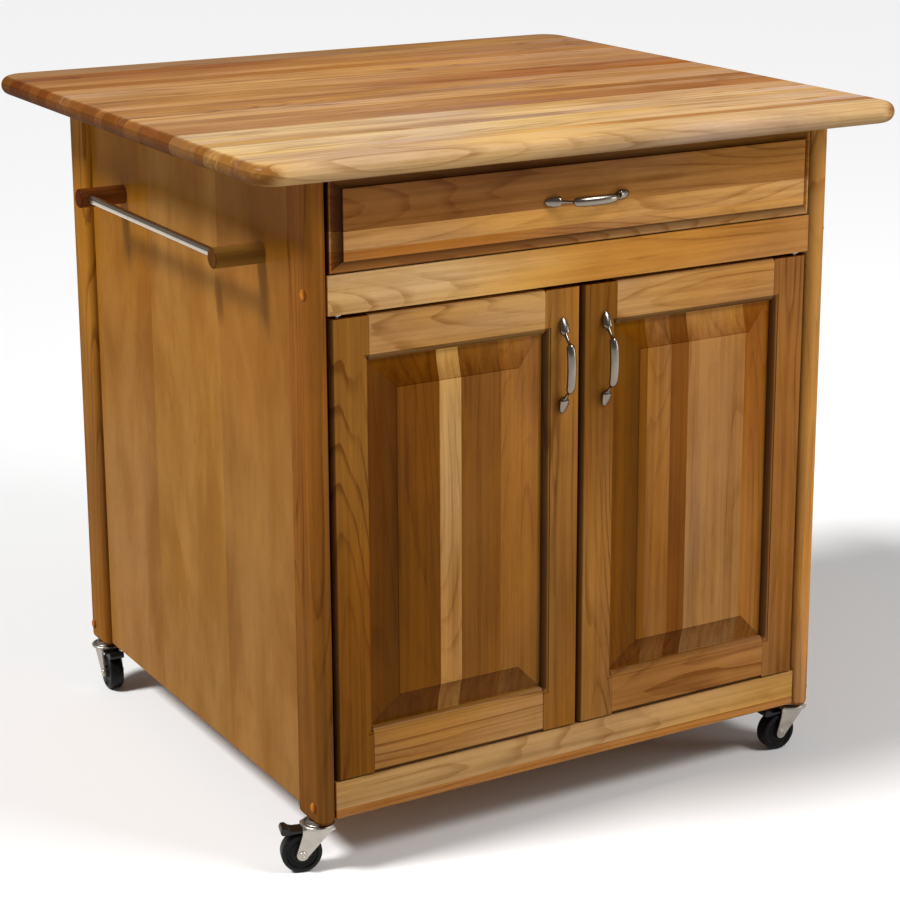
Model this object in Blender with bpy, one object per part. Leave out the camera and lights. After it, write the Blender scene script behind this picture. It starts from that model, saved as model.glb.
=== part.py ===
"""Kitchen island cart: a butcher block worktop on a cabinet with a drawer, doors, a towel bar and casters.

Metres, +Z up. The front faces -Y. The origin is on the floor, under the centre of the worktop.
"""

import math

import bmesh
import bpy
from mathutils import Matrix, Vector

# Clearances
GAP = 0.0003  # between pieces that rest on each other
EDGE = 0.0010  # broken edge of a planed board

# Worktop
TOP_WIDTH = 0.914
TOP_DEPTH = 0.847
TOP_HEIGHT = 0.890
TOP_THICKNESS = 0.0254
TOP_CORNER = 0.040
SIDE_OVERHANG = 0.084
FRONT_OVERHANG = 0.048
REAR_OVERHANG = 0.057

# Posts and panels of the cabinet
POST_THICKNESS = 0.0254
POST_DEPTH = 0.060
POST_BOTTOM = 0.066
POST_EASING = 0.008
POST_FOOT_EASING = 0.007
PANEL_RECESS = 0.0095
PANEL_BOTTOM = 0.0715
BOARD = 0.019
RAIL_RECESS = 0.006
MID_RAIL = (0.6985, 0.7465)
BOTTOM_RAIL = (0.0705, 0.1185)
SHELF_HEIGHT = 0.400
SHELF_THICKNESS = 0.016

# Doors
DOOR_SIDE_GAP = 0.003
DOOR_BOTTOM_GAP = 0.002
DOOR_TOP_GAP = 0.0045
DOOR_MEETING_GAP = 0.0024
STILE_WIDTH = 0.0508
TOP_RAIL_WIDTH = 0.055
LOW_RAIL_WIDTH = 0.058
STILE_ROUNDING = 0.006
RAIL_ROUNDING = 0.004
GROOVE_DEPTH = 0.0075
GROOVE = (0.0064, 0.0125)
TONGUE = 0.0065
PANEL_BEVEL = 0.035
PANEL_RAISE = 0.0045
PANEL_STEP = 0.0012
HINGE_SETBACK = 0.0135

# Hinge pins in the rails, and the bushes in the doors that turn on them
PIN_RADIUS = 0.0025
PIN_LENGTH = 0.012
WASHER_RADIUS = 0.0060
WASHER_THICKNESS = 0.0012
BUSH_RADIUS = 0.0046
BUSH_LENGTH = 0.011

# Drawer
DRAWER_FRONT = (0.7480, 0.8620)
DRAWER_LIP = 0.0025
DRAWER_BEVEL = 0.0120
DRAWER_RAISE = 0.0070
DRAWER_STEP = 0.0020
DRAWER_LIP_THICKNESS = 0.010
DRAWER_BOX = (0.7570, 0.8400)
DRAWER_DEPTH = 0.500
DRAWER_BOARD = 0.012
DRAWER_BOTTOM = (0.008, 0.012)
RUNNER_ROOM = 0.0124
RUNNER_SHEET = 0.0012
RUNNER_HEIGHT = 0.035

# Pulls, one arched handle used three times
PULL_LENGTH = 0.120
PULL_HEIGHT = 0.0222
DOOR_PULL_HEIGHT = 0.5975
LEFT_PULL_X = -0.0278
RIGHT_PULL_X = 0.0345

# Towel bar on the left side
HOLDER_RADIUS = 0.0127
HOLDER_LENGTH = 0.064
HOLDER_Y = (-0.230, 0.195)
TOWEL_HEIGHT = 0.750
ROD_RADIUS = 0.0058
ROD_REACH = 0.050
ROD_SOCKET = 0.012

# Casters: the wheel trails behind the swivel axis, along the caster's own -X
WHEEL_RADIUS = 0.0254
WHEEL_WIDTH = 0.021
CASTER_TRAIL = 0.0215
FORK_PLATE = 0.0022
FORK_INSIDE = 0.0120
AXLE_RADIUS = 0.0030
STEM_RADIUS = 0.0048
STEM_DEPTH = 0.038
BRAKE_PIVOT = (-0.0145, 0.0545)
BRAKE_HUB_RADIUS = 0.0020
BRAKE_HALF_WIDTH = 0.0105
CASTER_HEADINGS = {
    "front_left": math.radians(-17),
    "front_right": 0.0,
    "rear_left": math.radians(86),
    "rear_right": math.radians(150),
}

# Worked out from the dimensions above
CABINET_HALF = TOP_WIDTH / 2 - SIDE_OVERHANG
INNER_HALF = CABINET_HALF - POST_THICKNESS
PANEL_OUTER = CABINET_HALF - PANEL_RECESS
POST_FRONT = -TOP_DEPTH / 2 + FRONT_OVERHANG
POST_REAR = TOP_DEPTH / 2 - REAR_OVERHANG
FRONT_FACE = POST_FRONT + RAIL_RECESS
BACK_OF_FRONT = FRONT_FACE + BOARD
POST_TOP = TOP_HEIGHT - TOP_THICKNESS - GAP
DOOR_OUTER = INNER_HALF - DOOR_SIDE_GAP
DOOR_INNER = DOOR_MEETING_GAP / 2
DOOR_BOTTOM = BOTTOM_RAIL[1] + DOOR_BOTTOM_GAP
DOOR_TOP = MID_RAIL[0] - DOOR_TOP_GAP
HINGE_X = DOOR_OUTER - HINGE_SETBACK
HINGE_Y = FRONT_FACE + BOARD / 2


# ---------------------------------------------------------------- scene and materials

def clear_scene():
    for item in list(bpy.data.objects):
        bpy.data.objects.remove(item, do_unlink=True)


def make_material(name, colour, roughness, metallic=0.0):
    material = bpy.data.materials.new(name)
    material.use_nodes = True
    shader = material.node_tree.nodes["Principled BSDF"]
    shader.inputs["Base Color"].default_value = (*colour, 1.0)
    shader.inputs["Roughness"].default_value = roughness
    shader.inputs["Metallic"].default_value = metallic
    return material


def make_pivot(name, location, heading=0.0, parent=None):
    """An empty on a joint's axis, which carries the pieces that move together."""
    empty = bpy.data.objects.new(name, None)
    bpy.context.scene.collection.objects.link(empty)
    empty.parent = parent
    empty.location = location
    empty.rotation_euler = (0.0, 0.0, heading)
    return empty


def mesh_from(shape, smooth_angle=None):
    """Turns a bmesh into a mesh with its faces pointing out, shaded smooth up to smooth_angle."""
    bmesh.ops.recalc_face_normals(shape, faces=shape.faces)
    mesh = bpy.data.meshes.new("shape")
    shape.to_mesh(mesh)
    shape.free()
    if smooth_angle is not None:
        mesh.shade_smooth()
        mesh.set_sharp_from_angle(angle=math.radians(smooth_angle))
    return mesh


def add_piece(name, mesh, material, location=(0.0, 0.0, 0.0), parent=None):
    piece = bpy.data.objects.new(name, mesh)
    bpy.context.scene.collection.objects.link(piece)
    if not mesh.materials:
        mesh.materials.append(material)
    piece.parent = parent
    piece.location = location
    return piece


# ---------------------------------------------------------------- shapes

def block_mesh(size, edge=0.0):
    """A board of the given size around its own centre, its edges broken by edge."""
    shape = bmesh.new()
    bmesh.ops.create_cube(shape, size=1.0, matrix=Matrix.Diagonal((*size, 1.0)))
    if edge:
        bmesh.ops.bevel(shape, geom=shape.edges[:], offset=edge, segments=1, affect="EDGES")
    return mesh_from(shape)


def add_block(name, low, high, material, parent=None, edge=0.0):
    """A board between two corners of the cabinet, placed by its centre."""
    low, high = Vector(low), Vector(high)
    origin = parent.location if parent else Vector()
    centre = (low + high) / 2 - origin
    return add_piece(name, block_mesh(high - low, edge), material, centre, parent)


def extruded(outline, axis, start, end):
    """A closed outline extruded along X, Y or Z. The outline lies in the other two axes, in that order."""
    shape = bmesh.new()
    at = {
        "X": lambda a, b: (start, a, b),
        "Y": lambda a, b: (a, start, b),
        "Z": lambda a, b: (a, b, start),
    }[axis]
    face = shape.faces.new([shape.verts.new(at(a, b)) for a, b in outline])
    grown = bmesh.ops.extrude_face_region(shape, geom=[face])
    direction = Vector([(end - start) * (name == axis) for name in "XYZ"])
    far_end = [item for item in grown["geom"] if isinstance(item, bmesh.types.BMVert)]
    bmesh.ops.translate(shape, verts=far_end, vec=direction)
    return shape


def turned(profile, steps, axis="Z", smooth_angle=35):
    """A closed profile of (radius, height) points turned about an axis, heights running along it."""
    shape = bmesh.new()
    ring = [shape.verts.new((radius, 0.0, height)) for radius, height in profile]
    edges = [shape.edges.new(pair) for pair in zip(ring, ring[1:] + ring[:1])]
    bmesh.ops.spin(
        shape,
        geom=ring + edges,
        axis=(0.0, 0.0, 1.0),
        cent=(0.0, 0.0, 0.0),
        steps=steps,
        angle=2 * math.pi,
    )
    bmesh.ops.remove_doubles(shape, verts=shape.verts, dist=1e-5)
    bmesh.ops.dissolve_degenerate(shape, dist=1e-6, edges=shape.edges)
    loose = [edge for edge in shape.edges if not edge.link_faces]
    bmesh.ops.delete(shape, geom=loose, context="EDGES")
    turns = {"X": Matrix.Rotation(math.pi / 2, 3, "Y"), "Y": Matrix.Rotation(-math.pi / 2, 3, "X")}
    if axis in turns:
        bmesh.ops.rotate(shape, verts=shape.verts, cent=(0, 0, 0), matrix=turns[axis])
    return mesh_from(shape, smooth_angle)


def rod_profile(radius, low, high, ease=0.0):
    """The profile of a plain round bar along the turning axis, its two rims eased."""
    if not ease:
        return [(0.0, low), (radius, low), (radius, high), (0.0, high)]
    return [
        (0.0, low), (radius - ease, low), (radius, low + ease),
        (radius, high - ease), (radius - ease, high), (0.0, high),
    ]


def arc(centre, radius, start, end, steps):
    """Points on an arc, angles in degrees, both ends included."""
    angles = [math.radians(start + (end - start) * step / steps) for step in range(steps + 1)]
    return [(centre[0] + radius * math.cos(a), centre[1] + radius * math.sin(a)) for a in angles]


def moved(mesh, offset):
    mesh.transform(Matrix.Translation(offset))
    return mesh


def combined(base, steps, smooth_angle=None):
    """The mesh left after Boolean steps on base. Each step is an operation and the mesh that does it."""
    work = bpy.data.objects.new("work", base)
    bpy.context.scene.collection.objects.link(work)
    tools = []
    for operation, mesh in steps:
        tool = bpy.data.objects.new("tool", mesh)
        bpy.context.scene.collection.objects.link(tool)
        modifier = work.modifiers.new("step", "BOOLEAN")
        modifier.operation = operation
        modifier.object = tool
        tools.append(tool)
    bpy.context.view_layer.update()
    depsgraph = bpy.context.evaluated_depsgraph_get()
    result = bpy.data.meshes.new_from_object(work.evaluated_get(depsgraph))
    for item in [work, *tools]:
        bpy.data.objects.remove(item, do_unlink=True)
    if smooth_angle is not None:
        result.shade_smooth()
        result.set_sharp_from_angle(angle=math.radians(smooth_angle))
    return result


# ---------------------------------------------------------------- worktop

def rounded_rectangle(width, depth, corner, steps=8):
    """The outline of a rectangle with round corners, around the origin."""
    points = []
    for index, (side_x, side_y) in enumerate([(1, 1), (-1, 1), (-1, -1), (1, -1)]):
        centre = (side_x * (width / 2 - corner), side_y * (depth / 2 - corner))
        points += arc(centre, corner, 90 * index, 90 * index + 90, steps)
    return points


def worktop_mesh(rings=6):
    """The slab with a full bullnose: outlines that shrink towards the top and the underside."""
    shape = bmesh.new()
    radius = TOP_THICKNESS / 2
    loops = []
    for ring in range(rings + 1):
        angle = math.pi * (ring / rings - 0.5)
        inset = radius * (1 - math.cos(angle))
        outline = rounded_rectangle(TOP_WIDTH - 2 * inset, TOP_DEPTH - 2 * inset, TOP_CORNER - inset)
        height = radius * math.sin(angle)
        loops.append([shape.verts.new((x, y, height)) for x, y in outline])
    for lower, upper in zip(loops, loops[1:]):
        for index in range(len(lower)):
            following = (index + 1) % len(lower)
            shape.faces.new((lower[index], lower[following], upper[following], upper[index]))
    shape.faces.new(loops[0])
    shape.faces.new(loops[-1])
    return mesh_from(shape, 32)


# ---------------------------------------------------------------- cabinet

def post_outline(side, end):
    """A post's section: a bullnose on its outer end and one eased corner next to the side panel."""
    half = POST_THICKNESS / 2
    nose = arc((half, half), half, 0, -180, 8)
    ease = arc((POST_EASING, POST_DEPTH - POST_EASING), POST_EASING, 180, 90, 3)
    points = [(POST_THICKNESS, POST_DEPTH), *nose, *ease]
    face = POST_FRONT if end == "front" else POST_REAR
    inwards = 1 if end == "front" else -1
    return [(side * (CABINET_HALF - across), face + inwards * along) for across, along in points]


def caster_place(place):
    """The swivel axis of a caster, under the middle of its post."""
    side = -1 if place.endswith("left") else 1
    inwards = POST_DEPTH / 2
    y = POST_FRONT + inwards if place.startswith("front") else POST_REAR - inwards
    return side * (CABINET_HALF - POST_THICKNESS / 2), y


def post_mesh(place):
    """A post with its foot eased all round and a socket for the caster's stem."""
    side = -1 if place.endswith("left") else 1
    shape = extruded(post_outline(side, place.split("_")[0]), "Z", POST_BOTTOM, POST_TOP)
    rim = [edge for edge in shape.edges if all(abs(v.co.z - POST_BOTTOM) < 1e-6 for v in edge.verts)]
    bmesh.ops.bevel(shape, geom=rim, offset=POST_FOOT_EASING, segments=2, affect="EDGES")
    socket = rod_profile(STEM_RADIUS + GAP, POST_BOTTOM - 0.01, POST_BOTTOM + STEM_DEPTH + 0.002)
    x, y = caster_place(place)
    return combined(mesh_from(shape), [("DIFFERENCE", moved(turned(socket, 12), (x, y, 0.0)))], 35)


def pivot_hole(x, low, high, radius):
    """The cutter of a hinge pin's hole."""
    return moved(turned(rod_profile(radius, low, high), 12), (x, HINGE_Y, 0.0))


def rail_mesh(low, high, holes):
    """A front rail between the posts, with the holes that hold the doors' hinge pins."""
    length = 2 * (INNER_HALF - GAP)
    board = moved(block_mesh((length, BOARD, high - low), EDGE), (0.0, HINGE_Y, (low + high) / 2))
    steps = [("DIFFERENCE", pivot_hole(side * HINGE_X, *holes, PIN_RADIUS + GAP)) for side in (-1, 1)]
    return combined(board, steps)


def build_cabinet(wood, ply):
    add_piece("worktop", worktop_mesh(), wood, (0.0, 0.0, TOP_HEIGHT - TOP_THICKNESS / 2))
    for place in CASTER_HEADINGS:
        add_piece(f"post_{place}", post_mesh(place), wood)
    panel_front = POST_FRONT + POST_DEPTH + GAP
    panel_rear = POST_REAR - POST_DEPTH - GAP
    for side, name in ((-1, "left"), (1, "right")):
        near, far = sorted((side * PANEL_OUTER, side * INNER_HALF))
        add_block(f"side_panel_{name}", (near, panel_front, PANEL_BOTTOM), (far, panel_rear, POST_TOP), ply)
    width = INNER_HALF - GAP
    hole_up = (MID_RAIL[0] - 0.01, MID_RAIL[0] + PIN_LENGTH)
    hole_down = (BOTTOM_RAIL[1] - PIN_LENGTH, BOTTOM_RAIL[1] + 0.01)
    add_piece("front_mid_rail", rail_mesh(*MID_RAIL, hole_up), wood)
    add_piece("front_bottom_rail", rail_mesh(*BOTTOM_RAIL, hole_down), wood)
    rear_face = POST_REAR - RAIL_RECESS
    rear_inner = rear_face - BOARD
    add_block("rear_bottom_rail", (-width, rear_inner, BOTTOM_RAIL[0]), (width, rear_face, BOTTOM_RAIL[1]),
              wood, edge=EDGE)
    back = (rear_inner + 0.003, rear_inner + 0.015)
    add_block("back_panel", (-width, back[0], BOTTOM_RAIL[1] + GAP), (width, back[1], POST_TOP), ply)
    floor_top = BOTTOM_RAIL[1] - 0.002
    add_block("floor_panel", (-width, BACK_OF_FRONT + GAP, floor_top - SHELF_THICKNESS),
              (width, rear_inner - GAP, floor_top), ply)
    shelf = width - 0.0015
    add_block("shelf", (-shelf, BACK_OF_FRONT + 0.050, SHELF_HEIGHT - SHELF_THICKNESS),
              (shelf, rear_inner - 0.002, SHELF_HEIGHT), ply, edge=EDGE)


# ---------------------------------------------------------------- doors

def member_outline(width, rounding):
    """A door frame member's section, from its outer edge to its grooved inner edge."""
    ease = 0.0015
    return [
        *arc((rounding, rounding), rounding, 180, 270, 3),
        (width - ease, 0.0), (width, ease),
        (width, GROOVE[0]), (width - GROOVE_DEPTH, GROOVE[0]),
        (width - GROOVE_DEPTH, GROOVE[1]), (width, GROOVE[1]),
        (width, BOARD), (EDGE, BOARD), (0.0, BOARD - EDGE),
    ]


def stile_mesh(outer, inwards, holes=()):
    """An upright of a door: outer is its outer edge, inwards the direction of the panel along X."""
    section = member_outline(STILE_WIDTH, STILE_ROUNDING)
    outline = [(outer + inwards * across, FRONT_FACE + depth) for across, depth in section]
    mesh = mesh_from(extruded(outline, "Z", DOOR_BOTTOM, DOOR_TOP), 35)
    return combined(mesh, [("DIFFERENCE", hole) for hole in holes], 35) if holes else mesh


def door_rail_mesh(outer, inwards, width, ends):
    """A rail of a door: outer is its outer edge, inwards the direction of the panel along Z."""
    section = member_outline(width, RAIL_ROUNDING)
    outline = [(FRONT_FACE + depth, outer + inwards * across) for across, depth in section]
    return mesh_from(extruded(outline, "X", *ends), 35)


def raised_mesh(low, high, levels):
    """A panel whose front is raised in steps. Each level is how far it is set in and how far it rises."""
    low, high = Vector(low), Vector(high)
    shape = bmesh.new()
    place = Matrix.Translation((low + high) / 2) @ Matrix.Diagonal((*(high - low), 1.0))
    bmesh.ops.create_cube(shape, size=1.0, matrix=place)
    front = min(shape.faces, key=lambda face: face.calc_center_median().y)
    for inset, rise in levels:
        bmesh.ops.inset_region(shape, faces=[front], thickness=inset, depth=rise, use_even_offset=True)
    return mesh_from(shape)


def pull_stations():
    """Stations along half a pull: distance from the middle, height, half width and half thickness."""
    half = PULL_LENGTH / 2
    return [
        (half, 0.0010, 0.0016, 0.0008),
        (half - 0.0025, 0.0022, 0.0044, 0.0019),
        (half - 0.0080, 0.0037, 0.0062, 0.0034),
        (half - 0.0140, 0.0052, 0.0060, 0.0046),
        (half - 0.0175, 0.0062, 0.0046, 0.0044),
        (half - 0.0200, 0.0082, 0.0028, 0.0028),
        (half - 0.0265, PULL_HEIGHT - 0.0094, 0.0024, 0.0022),
        (half - 0.0320, PULL_HEIGHT - 0.0054, 0.0036, 0.0032),
        (half - 0.0370, PULL_HEIGHT - 0.0028, 0.0052, 0.0041),
        (half - 0.0460, PULL_HEIGHT - 0.0008, 0.0059, 0.0044),
        (0.0, PULL_HEIGHT, 0.0062, 0.0045),
    ]


def pull_mesh(around=10):
    """An arched pull along Z with a spoon foot at each end. It stands out along -Y from the plane y = 0."""
    half = pull_stations()
    path = [(-along, *rest) for along, *rest in half] + half[-2::-1]
    shape = bmesh.new()
    rings = []
    for index, (along, height, wide, thick) in enumerate(path):
        before, after = path[max(index - 1, 0)], path[min(index + 1, len(path) - 1)]
        run = Vector((after[0] - before[0], after[1] - before[1])).normalized()
        ring = []
        for step in range(around):
            angle = 2 * math.pi * step / around
            out = thick * math.sin(angle)
            z = along - run.y * out
            y = max(height + run.x * out, 0.0)
            ring.append(shape.verts.new((wide * math.cos(angle), -y, z)))
        rings.append(ring)
    for lower, upper in zip(rings, rings[1:]):
        for step in range(around):
            following = (step + 1) % around
            shape.faces.new((lower[step], lower[following], upper[following], upper[step]))
    shape.faces.new(rings[0])
    shape.faces.new(rings[-1])
    return mesh_from(shape, 60)


def build_hinge_pins(side, name, steel, nylon, pivot):
    """The pins that the rails hold and the bushes that the door turns on."""
    for level, edge, outwards in (("top", MID_RAIL[0], 1), ("bottom", BOTTOM_RAIL[1], -1)):
        door_edge = DOOR_TOP if level == "top" else DOOR_BOTTOM
        washer = edge - outwards * GAP
        tip = door_edge - outwards * BUSH_LENGTH
        profile = [
            (0.0, tip), (PIN_RADIUS, tip), (PIN_RADIUS, washer - outwards * WASHER_THICKNESS),
            (WASHER_RADIUS, washer - outwards * WASHER_THICKNESS), (WASHER_RADIUS, washer),
            (PIN_RADIUS, washer), (PIN_RADIUS, edge + outwards * (PIN_LENGTH - 0.001)),
            (0.0, edge + outwards * (PIN_LENGTH - 0.001)),
        ]
        add_piece(f"door_{name}_pin_{level}", turned(profile, 12), steel, (side * HINGE_X, HINGE_Y, 0.0))
        near = door_edge - outwards * GAP
        far = door_edge - outwards * (BUSH_LENGTH + 0.001)
        sleeve = [(PIN_RADIUS + GAP, near), (BUSH_RADIUS, near), (BUSH_RADIUS, far), (PIN_RADIUS + GAP, far)]
        add_piece(f"door_{name}_bush_{level}", turned(sleeve, 12), nylon, (0.0, 0.0, 0.0), pivot)


def build_door(side, name, pull_x, wood, steel, nylon, nickel):
    """A framed door with a raised panel. side is -1 for the left door and 1 for the right one."""
    pivot = make_pivot(f"door_{name}", (side * HINGE_X, HINGE_Y, 0.0))
    to_pivot = (-side * HINGE_X, -HINGE_Y, 0.0)
    bores = [
        pivot_hole(side * HINGE_X, DOOR_TOP - BUSH_LENGTH - 0.002, DOOR_TOP + 0.01, BUSH_RADIUS + GAP),
        pivot_hole(side * HINGE_X, DOOR_BOTTOM - 0.01, DOOR_BOTTOM + BUSH_LENGTH + 0.002, BUSH_RADIUS + GAP),
    ]
    hinge_stile = stile_mesh(side * DOOR_OUTER, -side, bores)
    add_piece(f"door_{name}_hinge_stile", hinge_stile, wood, to_pivot, pivot)
    add_piece(f"door_{name}_latch_stile", stile_mesh(side * DOOR_INNER, side), wood, to_pivot, pivot)
    ends = sorted((side * (DOOR_INNER + STILE_WIDTH), side * (DOOR_OUTER - STILE_WIDTH)))
    rail_ends = (ends[0] + GAP, ends[1] - GAP)
    top_rail = door_rail_mesh(DOOR_TOP, -1, TOP_RAIL_WIDTH, rail_ends)
    low_rail = door_rail_mesh(DOOR_BOTTOM, 1, LOW_RAIL_WIDTH, rail_ends)
    add_piece(f"door_{name}_top_rail", top_rail, wood, to_pivot, pivot)
    add_piece(f"door_{name}_bottom_rail", low_rail, wood, to_pivot, pivot)
    back, front = FRONT_FACE + GROOVE[1] - GAP, FRONT_FACE + GROOVE[0] + GAP
    low = (ends[0] - TONGUE, front, DOOR_BOTTOM + LOW_RAIL_WIDTH - TONGUE)
    high = (ends[1] + TONGUE, back, DOOR_TOP - TOP_RAIL_WIDTH + TONGUE)
    levels = [(GROOVE_DEPTH, 0.0), (PANEL_BEVEL, PANEL_RAISE), (0.0010, PANEL_STEP)]
    add_piece(f"door_{name}_raised_panel", raised_mesh(low, high, levels), wood, to_pivot, pivot)
    pull_place = (pull_x - side * HINGE_X, FRONT_FACE - GAP - HINGE_Y, DOOR_PULL_HEIGHT)
    add_piece(f"door_{name}_pull", pull_mesh(), nickel, pull_place, pivot)
    build_hinge_pins(side, name, steel, nylon, pivot)


# ---------------------------------------------------------------- drawer

def build_drawer(wood, ply, steel, nickel):
    slide = make_pivot("drawer", (0.0, FRONT_FACE, sum(DRAWER_FRONT) / 2))
    back_of_front = FRONT_FACE + DRAWER_LIP_THICKNESS
    low = (-DOOR_OUTER, FRONT_FACE, DRAWER_FRONT[0])
    high = (DOOR_OUTER, back_of_front, DRAWER_FRONT[1])
    levels = [(DRAWER_LIP, 0.0), (DRAWER_BEVEL, DRAWER_RAISE), (0.0008, DRAWER_STEP)]
    front = raised_mesh(low, high, levels)
    add_piece("drawer_front", front, wood, -slide.location, slide)
    side_outer = INNER_HALF - RUNNER_ROOM
    side_inner = side_outer - DRAWER_BOARD
    start = back_of_front + GAP
    end = start + DRAWER_DEPTH
    bottom, top = DRAWER_BOX
    for side, name in ((-1, "left"), (1, "right")):
        near, far = sorted((side * side_outer, side * side_inner))
        add_block(f"drawer_side_{name}", (near, start, bottom), (far, end, top), wood, slide, EDGE)
    inner = side_inner - GAP
    add_block("drawer_back", (-inner, end - DRAWER_BOARD, bottom), (inner, end, top), wood, slide, EDGE)
    add_block("drawer_bottom", (-inner, start, bottom + DRAWER_BOTTOM[0]),
              (inner, end - DRAWER_BOARD - GAP, bottom + DRAWER_BOTTOM[1]), ply, slide)
    field = FRONT_FACE - DRAWER_RAISE - DRAWER_STEP
    pull = add_piece("drawer_pull", pull_mesh(), nickel, (0.0, field - GAP - FRONT_FACE, 0.0), slide)
    pull.rotation_euler = (0.0, math.pi / 2, 0.0)
    for side, name in ((-1, "left"), (1, "right")):
        build_runner(side, name, side_inner, bottom, start, steel)


def build_runner(side, name, reach, bottom, start, steel):
    """A folded steel runner on the cabinet: the drawer side slides on its lower flange."""
    wall = INNER_HALF - GAP
    fold = wall - RUNNER_SHEET
    flange = bottom - GAP
    under = flange - RUNNER_SHEET
    top = flange + RUNNER_HEIGHT
    section = [(wall, under), (reach, under), (reach, flange), (fold, flange), (fold, top), (wall, top)]
    outline = [(side * across, height) for across, height in section]
    mesh = mesh_from(extruded(outline, "Y", start + 0.004, start + DRAWER_DEPTH + 0.020))
    add_piece(f"drawer_runner_{name}", mesh, steel)


# ---------------------------------------------------------------- towel bar

def build_towel_bar(wood, chrome):
    base = -PANEL_OUTER - GAP
    rod_x = -PANEL_OUTER - ROD_REACH
    for y, name, inwards in ((HOLDER_Y[0], "front", 1), (HOLDER_Y[1], "rear", -1)):
        peg = turned(rod_profile(HOLDER_RADIUS, -HOLDER_LENGTH, 0.0, 0.0025), 24, "X")
        ends = sorted((inwards * (HOLDER_RADIUS - ROD_SOCKET), inwards * 2 * HOLDER_RADIUS))
        socket = turned(rod_profile(ROD_RADIUS + GAP, *ends), 16, "Y")
        moved(socket, (rod_x - base, 0.0, 0.0))
        mesh = combined(peg, [("DIFFERENCE", socket)], 35)
        add_piece(f"towel_bar_holder_{name}", mesh, wood, (base, y, TOWEL_HEIGHT))
    inset = HOLDER_RADIUS - ROD_SOCKET + 0.001
    length = HOLDER_Y[1] - HOLDER_Y[0] - 2 * inset
    rod = turned(rod_profile(ROD_RADIUS, -length / 2, length / 2, 0.0006), 16, "Y")
    add_piece("towel_bar_rod", rod, chrome, (rod_x, sum(HOLDER_Y) / 2, TOWEL_HEIGHT))


# ---------------------------------------------------------------- casters

def stem_mesh():
    """The fixed stem: pressed into the post, a thrust collar under it, and a riveted head under the fork."""
    collar_top = POST_BOTTOM - GAP
    profile = [
        (0.0, 0.0540), (0.0070, 0.0540), (0.0070, 0.0562), (0.0040, 0.0565), (0.0040, 0.0628),
        (0.0150, 0.0630), (0.0155, 0.0640), (0.0150, collar_top), (STEM_RADIUS, collar_top),
        (STEM_RADIUS, POST_BOTTOM + STEM_DEPTH - 0.001), (0.0, POST_BOTTOM + STEM_DEPTH),
    ]
    return turned(profile, 20)


def fork_mesh():
    """The swivel fork: a pressed cap, two plates that narrow towards the axle, and the axle itself."""
    cap = [
        (0.0045, 0.0568), (0.0170, 0.0568), (0.0205, 0.0580), (0.0215, 0.0600), (0.0205, 0.0618),
        (0.0175, 0.0624), (0.0045, 0.0624),
    ]
    low = (-CASTER_TRAIL, WHEEL_RADIUS)
    outline = [
        (0.0170, 0.0590), (-0.0195, 0.0590), (-0.0205, 0.0530),
        *arc(low, 0.0072, 172, 338, 8),
    ]
    steps = []
    for side in (-1, 1):
        near, far = sorted((side * FORK_INSIDE, side * (FORK_INSIDE + FORK_PLATE)))
        steps.append(("UNION", mesh_from(extruded(outline, "Y", near, far))))
    reach = FORK_INSIDE + FORK_PLATE + 0.0015
    seat = FORK_INSIDE + 0.0008
    head = [(AXLE_RADIUS, seat), (0.0046, seat + 0.0002), (0.0040, reach), (0.0, reach)]
    axle = [(radius, -height) for radius, height in reversed(head)] + head
    steps.append(("UNION", moved(turned(axle, 12, "Y"), (low[0], 0.0, low[1]))))
    hole = turned(rod_profile(0.0018, -0.03, 0.03), 10, "Y")
    steps.append(("DIFFERENCE", moved(hole, (BRAKE_PIVOT[0], 0.0, BRAKE_PIVOT[1]))))
    return combined(turned(cap, 24), steps, 35)


def wheel_mesh():
    """A moulded wheel with a dished web, around its own axle."""
    half = WHEEL_WIDTH / 2
    right = [
        (AXLE_RADIUS + 0.0004, half + 0.0006), (0.0085, half + 0.0006), (0.0095, half - 0.0025),
        (0.0190, half - 0.0025), (0.0200, half - 0.0004), (WHEEL_RADIUS - 0.0016, half - 0.0004),
        (WHEEL_RADIUS, half - 0.0028),
    ]
    left = [(radius, -height) for radius, height in reversed(right)]
    return turned(right + left, 28, "Y", 30)


def brake_mesh():
    """The brake pedal: a hub between the fork's plates and a tab over the wheel that turns up at its end."""
    hub_x, hub_z = BRAKE_PIVOT
    outline = [
        *arc((hub_x, hub_z), BRAKE_HUB_RADIUS, -80, 60, 5),
        (hub_x - 0.0035, hub_z + 0.0010), (-0.0315, 0.0556), (-0.0360, 0.0560), (-0.0400, 0.0600),
        (-0.0450, 0.0600), (-0.0470, 0.0550), (-0.0440, 0.0515), (-0.0345, 0.0525), (-0.0250, 0.0530),
        (hub_x - 0.0045, 0.0526),
    ]
    tab = mesh_from(extruded(outline, "Y", -BRAKE_HALF_WIDTH, BRAKE_HALF_WIDTH))
    pin = moved(turned(rod_profile(0.0015, -0.0138, 0.0138), 10, "Y"), (hub_x, 0.0, hub_z))
    result = combined(tab, [("UNION", pin)], 35)
    return moved(result, (-hub_x, 0.0, -hub_z))


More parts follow.
